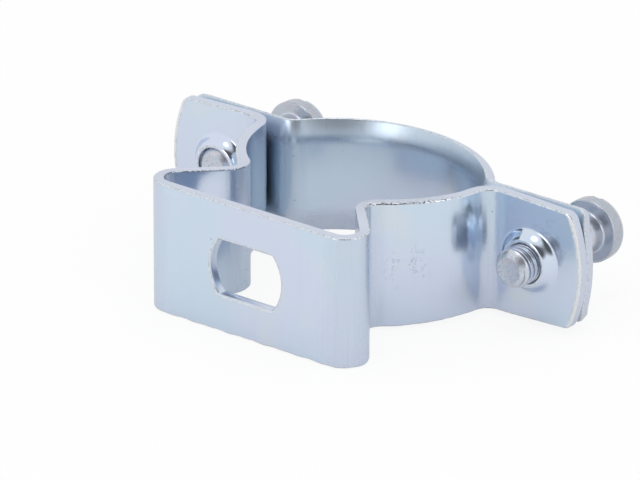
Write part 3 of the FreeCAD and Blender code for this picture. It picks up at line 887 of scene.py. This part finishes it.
class Value:
    """A socket that takes part in Python expressions; each operator adds one Math node."""

    def __init__(self, graph, socket):
        self.graph = graph
        self.socket = socket

    def math(self, operation, first, second):
        """Adds one Math node for two values or sockets."""
        return self.graph.node("ShaderNodeMath", {"operation": operation}, {0: first, 1: second})

    def __add__(self, other):
        return self.math("ADD", self, other)

    def __radd__(self, other):
        return self.math("ADD", other, self)

    def __sub__(self, other):
        return self.math("SUBTRACT", self, other)

    def __rsub__(self, other):
        return self.math("SUBTRACT", other, self)

    def __mul__(self, other):
        return self.math("MULTIPLY", self, other)

    def __rmul__(self, other):
        return self.math("MULTIPLY", other, self)


class Graph:
    """A node tree that is being filled."""

    def __init__(self, tree):
        self.tree = tree
        tree.nodes.clear()

    def node(self, kind, settings, sockets, output=0):
        """Adds a node, sets its settings, then the values or links of its sockets, and gives one output."""
        made = self.tree.nodes.new(kind)
        for name, value in settings.items():
            setattr(made, name, value)
        for name, value in sockets.items():
            if isinstance(value, Value):
                self.tree.links.new(value.socket, made.inputs[name])
            else:
                made.inputs[name].default_value = value
        return Value(self, made.outputs[output]) if made.outputs else None

    def ramp(self, value, low, high):
        """Smooth step from 0 at low to 1 at high."""
        return self.node("ShaderNodeMapRange", {"interpolation_type": "SMOOTHSTEP"},
                         {"Value": value, "From Min": low, "From Max": high})

    def blend(self, share, first, second):
        """A colour between two, by share."""
        return self.node("ShaderNodeMix", {"data_type": "RGBA"}, {0: share, 6: first, 7: second}, 2)

    def stretch(self, place, scale):
        """A place scaled by axis, so that a pattern there is drawn out along the axes with small scales."""
        return self.node("ShaderNodeVectorMath", {"operation": "MULTIPLY"}, {0: place, 1: scale})

    def noise(self, place, size, detail):
        """Noise from 0 to 1 with features of about the given size, and finer ones by detail."""
        return self.node("ShaderNodeTexNoise", {}, {"Vector": place, "Scale": 1.0 / size, "Detail": detail})

    def cells(self, place, size):
        """Distance to the nearest of scattered points that lie about size apart, as a share of size."""
        return self.node("ShaderNodeTexVoronoi", {}, {"Vector": place, "Scale": 1.0 / size}, "Distance")

    def near(self, place, middle, reach):
        """1 in the core of a spot round its middle, fading to 0 at its reach."""
        away = self.node("ShaderNodeVectorMath", {"operation": "DISTANCE"}, {0: place, 1: middle}, "Value")
        return 1 - self.ramp(away, SPOT_CORE * reach, reach)

    def mark(self, name):
        """A mark that the piece carries at its points."""
        return self.node("ShaderNodeAttribute", {"attribute_name": name}, {}, "Fac")


def rgba(colour_value):
    """A colour with full opacity."""
    return (*colour_value, 1.0)


def new_material(name):
    """A new material and its empty node tree."""
    material = bpy.data.materials.new(name)
    material.use_nodes = True
    return material, Graph(material.node_tree)


def close_metal(graph, base, metallic, roughness, height):
    """Ends a plated metal: its colour, how bare the metal is, its roughness, and its relief in metres."""
    normal = graph.node("ShaderNodeBump", {}, {"Strength": 1.0, "Distance": 1.0, "Height": height})
    shader = graph.node("ShaderNodeBsdfPrincipled", {}, {"Base Color": base, "Metallic": metallic,
                                                         "Roughness": roughness, "Normal": normal})
    graph.node("ShaderNodeOutputMaterial", {}, {"Surface": shader})


def zinc_strap_material(finish):
    """Bright zinc with drifting tints, upright streaks, grain, pits, scuffs, speckled cut edges and a painted
    highlight along the rolled-over edges and rims.
    """
    if "strap_plating" in bpy.data.materials:
        return bpy.data.materials["strap_plating"]
    material, graph = new_material("strap_plating")
    place = graph.node("ShaderNodeTexCoord", {}, {}, "Object")
    sheared = graph.mark("sheared")
    rolled = graph.mark("rolled")
    broken = graph.mark("broken")
    bent = graph.mark("bent")
    drawn = graph.mark("drawn")
    patch = graph.noise(place, PATCH_SIZE, 1.0)
    grain = graph.noise(place, GRAIN_SIZE, 2.0)
    speckle = graph.noise(place, SPECKLE_SIZE, 3.0)

    # Tints, and streaks that dull the bends
    drift = graph.ramp(graph.noise(place, DRIFT_SIZE, 1.0), 0.40, 0.60)
    warm = graph.ramp(graph.noise(place, WARM_SIZE, 2.0), 0.55, 0.75)
    base = graph.blend(drift, rgba(finish.zinc), rgba(finish.lavender))
    base = graph.blend(warm * 0.7, base, rgba(finish.straw))
    streak = graph.noise(graph.stretch(place, UPRIGHT_STRETCH), STREAK_WIDTH, 3.0)
    dull = bent * 0.10 + graph.ramp(streak, 0.50, 0.75) * (0.02 + 0.05 * bent)
    base = graph.blend(dull, base, rgba(finish.speck_and_shade))

    # Cut edges, dark with specks where they are worn or chipped, and a painted highlight along the
    # rolled-over edges and rims
    specks = graph.ramp(speckle, 0.47, 0.60)
    patchy = graph.ramp(graph.noise(place, WEAR_SIZE, 2.0), 0.50, 0.62)
    worn = graph.near(place, ARC_EDGE, EDGE_WEAR_REACH) + 0.1 * patchy
    chipped = graph.near(place, LEG_EDGE, EDGE_WEAR_REACH) * 2 + 0.8 * patchy
    base = graph.blend(sheared * 0.85, base, rgba(finish.cut_edge))
    # Painted highlight: the rolled-over edges and hole rims blend to a bright colour
    base = graph.blend(rolled * 0.8, base, rgba(finish.rolled_edge_highlight))
    dirt = specks * ((sheared * 0.3 + rolled * 2) * worn + broken * chipped + rolled * (1 - rolled) * 1.2)

    # Pits and scratches
    pits = (1 - graph.ramp(graph.cells(place, PIT_SPACING), 0.03, 0.05)) * graph.ramp(patch, 0.45, 0.55)
    scuffs = graph.near(place, ARC_SCUFF, SCUFF_REACH) + graph.near(place, EAR_SCUFF, SCUFF_REACH)
    wander = graph.noise(place, SCRATCH_SIZE, 2.0) - 0.5
    lines = (1 - graph.ramp(wander * wander, 0.0, 0.003)) * graph.ramp(grain, 0.48, 0.58)
    torn = graph.ramp(graph.noise(place, TEAR_SIZE, 1.0), 0.47, 0.55)
    scratches = lines * scuffs * torn
    base = graph.blend(dirt + pits * 0.5 + scratches * 0.3, base, rgba(finish.speck_and_shade))

    # Relief and gloss
    peel = graph.noise(place, PEEL_SIZE, 2.0)
    height = (peel * PEEL_DEPTH + grain * GRAIN_DEPTH + streak * STREAK_DEPTH
              + speckle * (sheared + rolled * 0.5) * EDGE_DEPTH
              - pits * PIT_DEPTH - scratches * SCRATCH_DEPTH)
    roughness = 0.13 + patch * 0.06 + sheared * 0.12 + bent * 0.14 + scratches * 0.1 - drawn * 0.06
    close_metal(graph, base, 1 - bent * 0.2 - sheared * 0.3, roughness, height)
    return material


def zinc_screw_material(finish):
    """Greyer zinc on the screws, mottled, with painted shade in the grooves, darker heads, speckled ends and
    dull head rims.
    """
    material, graph = new_material("screw_plating")
    place = graph.node("ShaderNodeTexCoord", {}, {}, "Object")
    groove = graph.mark("groove")
    end = graph.mark("end")
    radial = graph.mark("radial")
    head = graph.ramp(radial, 0.61, 0.75)
    rim = graph.ramp(radial, 0.93, 1.0)
    mottle = graph.noise(place, MOTTLE_SIZE, 3.0)
    speckle = graph.noise(place, SCREW_SPECKLE_SIZE, 3.0)
    base = graph.blend(graph.ramp(mottle, 0.42, 0.62) * 0.7, rgba(finish.screw), rgba(finish.screw_tint))
    # Painted shade in the thread's grooves; the head and its rim are darker further out from the axis
    dark = graph.ramp(groove, 0.3, 1.0) * 0.4 + head * 0.15 + rim * 0.1
    base = graph.blend(dark, base, rgba(finish.speck_and_shade))
    specks = graph.ramp(speckle, 0.52, 0.66) * (0.08 + 0.4 * end + 0.35 * rim)
    base = graph.blend(specks, base, rgba(finish.speck_and_shade))
    depth = SCREW_SPECKLE_DEPTH + END_SPECKLE_DEPTH * end + RIM_SPECKLE_DEPTH * rim
    height = mottle * MOTTLE_DEPTH + speckle * depth
    roughness = 0.16 + mottle * 0.1 + rim * 0.08 + end * 0.15
    close_metal(graph, base, SCREW_METALLIC, roughness, height)
    return material


# Stage

# The photograph's camera: its focal length in pixels, the direction and roll of its view, and its place
PHOTO_FOCAL_PIXELS = 6921.4
PHOTO_AZIMUTH = math.radians(38.176)
PHOTO_ELEVATION = math.radians(23.365)
PHOTO_ROLL = math.radians(0.19)
PHOTO_DISTANCE = 837.96 * MM
PHOTO_RIGHT_SHIFT = -7.132 * MM
PHOTO_UP_SHIFT = 3.819 * MM
SENSOR_WIDTH = 36.0
NEAR_CLIP = 0.05
FAR_CLIP = 10.0
# The tent's strength as a light, and its opening: where it is, its half sizes, its fade, the fade that keeps
# it on its own side of the tent, and how dark it is
TENT_LIGHT = 0.85
OPENING_AZIMUTH = math.radians(33)
OPENING_ELEVATION = math.radians(34)
OPENING_WIDE = math.sin(math.radians(33))
OPENING_HIGH = math.sin(math.radians(26))
OPENING_FADE = (0.35, 1.3)
OPENING_SIDE = (0.0, 0.1)
OPENING_DARK = 0.88
# The floor's half size and its gap under the clamp, and how white it is to the camera and in the metal
FLOOR_HALF = 1.5
FLOOR_GAP = 0.02 * MM
FLOOR_SEEN = 0.88
FLOOR_MIRRORED = 0.25
# Each lamp's azimuth and elevation in degrees, distance and width in metres, and brightness, where 1 is white
LAMPS = {
    "front_lamp": (-4, 20, 0.6, 0.25, 1.6),
    "side_lamp": (84, 24, 0.6, 0.25, 1.5),
    "top_lamp": (0, 85, 0.6, 0.30, 1.5),
}


def direction(azimuth, elevation):
    """The unit vector at an azimuth from -Y towards +X and an elevation above the floor."""
    level = math.cos(elevation)
    return Vector((math.sin(azimuth) * level, -math.cos(azimuth) * level, math.sin(elevation)))


def add_camera():
    """The camera of the photograph: it looks along -back, turned a little about that line."""
    back = direction(PHOTO_AZIMUTH, PHOTO_ELEVATION)
    level = Vector((math.cos(PHOTO_AZIMUTH), math.sin(PHOTO_AZIMUTH), 0.0))
    upright = back.cross(level)
    place = back * PHOTO_DISTANCE + level * PHOTO_RIGHT_SHIFT + upright * PHOTO_UP_SHIFT
    right = level * math.cos(PHOTO_ROLL) + upright * math.sin(PHOTO_ROLL)
    top = back.cross(right)
    data = bpy.data.cameras.new("photo_camera")
    data.sensor_width = SENSOR_WIDTH
    data.lens = PHOTO_FOCAL_PIXELS * SENSOR_WIDTH / IMAGE_WIDTH
    data.clip_start = NEAR_CLIP
    data.clip_end = FAR_CLIP
    camera = bpy.data.objects.new("photo_camera", data)
    camera.matrix_world = Matrix.Translation(place) @ Matrix((right, top, back)).transposed().to_4x4()
    bpy.context.scene.collection.objects.link(camera)
    bpy.context.scene.camera = camera


def ray(graph, kind):
    """1 for rays of one kind."""
    return graph.node("ShaderNodeLightPath", {}, {}, "Is %s Ray" % kind)


def seen_rays(graph):
    """1 for rays that show the background: straight, mirrored or through glass."""
    seen = ray(graph, "Camera") + ray(graph, "Glossy") + ray(graph, "Transmission")
    return graph.node("ShaderNodeMath", {"operation": "MINIMUM"}, {0: seen, 1: 1.0})


def add_world():
    """A white tent, a little dim for the lamps' sake, with a dark opening above the place of the photograph.

    The opening is an oval, seen only in the metal. It is measured along the directions beside and above its
    middle.
    """
    world = bpy.data.worlds.new("white_tent")
    world.use_nodes = True
    bpy.context.scene.world = world
    graph = Graph(world.node_tree)
    way = graph.node("ShaderNodeTexCoord", {}, {}, "Generated")
    middle = direction(OPENING_AZIMUTH, OPENING_ELEVATION)
    beside = Vector((math.cos(OPENING_AZIMUTH), math.sin(OPENING_AZIMUTH), 0.0))
    ways = (beside / OPENING_WIDE, middle.cross(beside) / OPENING_HIGH, middle)
    across, upward, towards = [
        graph.node("ShaderNodeVectorMath", {"operation": "DOT_PRODUCT"}, {0: way, 1: axis}, "Value")
        for axis in ways]
    inside = 1 - graph.ramp(across * across + upward * upward, *OPENING_FADE)
    dark = inside * graph.ramp(towards, *OPENING_SIDE) * ray(graph, "Glossy")
    strength = (TENT_LIGHT + (1 - TENT_LIGHT) * seen_rays(graph)) * (1 - OPENING_DARK * dark)
    shader = graph.node("ShaderNodeBackground", {}, {"Color": (1.0, 1.0, 1.0, 1.0), "Strength": strength})
    graph.node("ShaderNodeOutputWorld", {}, {"Surface": shader})


def add_floor(finish):
    """A pale floor under the clamp that is near white to the camera and keeps the clamp's shadow."""
    level = CAD_BOX[0].z - FLOOR_GAP
    signs = ((-1, -1), (1, -1), (1, 1), (-1, 1))
    corners = [(across * FLOOR_HALF, out * FLOOR_HALF, level) for across, out in signs]
    mesh = bpy.data.meshes.new("floor")
    mesh.from_pydata(corners, [], [(0, 1, 2, 3)])
    material, graph = new_material("pale_floor")
    matt = graph.node("ShaderNodeBsdfDiffuse", {}, {"Color": rgba(finish.floor)})
    white = graph.node("ShaderNodeEmission", {}, {"Color": (1.0, 1.0, 1.0, 1.0), "Strength": 1.0})
    mirrored = ray(graph, "Glossy") + ray(graph, "Transmission")
    share = ray(graph, "Camera") * FLOOR_SEEN + mirrored * FLOOR_MIRRORED
    shader = graph.node("ShaderNodeMixShader", {}, {0: share, 1: matt, 2: white})
    graph.node("ShaderNodeOutputMaterial", {}, {"Surface": shader})
    mesh.materials.append(material)
    floor = bpy.data.objects.new("floor", mesh)
    bpy.context.scene.collection.objects.link(floor)


def add_lamp(name, azimuth, elevation, distance, width, brightness):
    """A round soft lamp that looks at the clamp; brightness is that of its face, where 1 is white."""
    way = direction(math.radians(azimuth), math.radians(elevation))
    data = bpy.data.lights.new(name, "AREA")
    data.shape = "DISK"
    data.size = width
    data.energy = brightness * math.pi * math.pi * width * width / 4
    lamp = bpy.data.objects.new(name, data)
    lamp.location = way * distance
    lamp.rotation_mode = "QUATERNION"
    lamp.rotation_quaternion = way.to_track_quat("Z", "Y")
    bpy.context.scene.collection.objects.link(lamp)


# Operators

class SPACERCLAMP_OT_front_strap(bpy.types.Operator):
    """Build the folded front strap"""

    bl_idname = "spacer_clamp.front_strap"
    bl_label = "Front strap"

    def execute(self, context):
        settings = context.scene.spacer_clamp
        build_front_strap(settings.front, zinc_strap_material(settings.finish))
        return {"FINISHED"}


class SPACERCLAMP_OT_rear_strap(bpy.types.Operator):
    """Build the rear strap"""

    bl_idname = "spacer_clamp.rear_strap"
    bl_label = "Rear strap"

    def execute(self, context):
        settings = context.scene.spacer_clamp
        build_rear_strap(settings.rear, zinc_strap_material(settings.finish))
        return {"FINISHED"}


class SPACERCLAMP_OT_screws(bpy.types.Operator):
    """Build both slotted screws"""

    bl_idname = "spacer_clamp.screws"
    bl_label = "Screws"

    def execute(self, context):
        settings = context.scene.spacer_clamp
        material = zinc_screw_material(settings.finish)
        build_screw("left_screw", settings.screws, settings.screws.left_tip, material)
        build_screw("right_screw", settings.screws, settings.screws.right_tip, material)
        return {"FINISHED"}


class SPACERCLAMP_OT_stage(bpy.types.Operator):
    """Set up the floor, the light and the camera"""

    bl_idname = "spacer_clamp.stage"
    bl_label = "Stage"

    def execute(self, context):
        context.scene.view_settings.view_transform = "Standard"
        add_world()
        add_floor(context.scene.spacer_clamp.finish)
        for name, placing in LAMPS.items():
            add_lamp(name, *placing)
        add_camera()
        return {"FINISHED"}


class SPACERCLAMP_PT_panel(bpy.types.Panel):
    """Lists the clamp's sizes, colours and build steps"""

    bl_idname = "SPACERCLAMP_PT_panel"
    bl_label = "Spacer clamp"
    bl_space_type = "VIEW_3D"
    bl_region_type = "UI"
    bl_category = "Clamp"

    def draw(self, context):
        settings = context.scene.spacer_clamp
        for group in (settings.front, settings.rear, settings.screws, settings.finish):
            column = self.layout.column(align=True)
            for name in group.__annotations__:
                column.prop(group, name)
        for operator in OPERATORS:
            self.layout.operator(operator.bl_idname)


OPERATORS = (SPACERCLAMP_OT_front_strap, SPACERCLAMP_OT_rear_strap, SPACERCLAMP_OT_screws,
             SPACERCLAMP_OT_stage)
CLASSES = (FrontStrapSizes, RearStrapSizes, ScrewSizes, FinishColours, ClampSettings, *OPERATORS,
           SPACERCLAMP_PT_panel)


def register():
    """Registers the classes and gives each scene its settings."""
    for item in CLASSES:
        bpy.utils.register_class(item)
    bpy.types.Scene.spacer_clamp = PointerProperty(type=ClampSettings)


def unregister():
    """Takes back what register did."""
    del bpy.types.Scene.spacer_clamp
    for item in reversed(CLASSES):
        bpy.utils.unregister_class(item)


def main():
    """Builds the clamp and its stage."""
    register()
    bpy.ops.spacer_clamp.front_strap()
    bpy.ops.spacer_clamp.rear_strap()
    bpy.ops.spacer_clamp.screws()
    bpy.ops.spacer_clamp.stage()


if __name__ == "__main__":
    main()
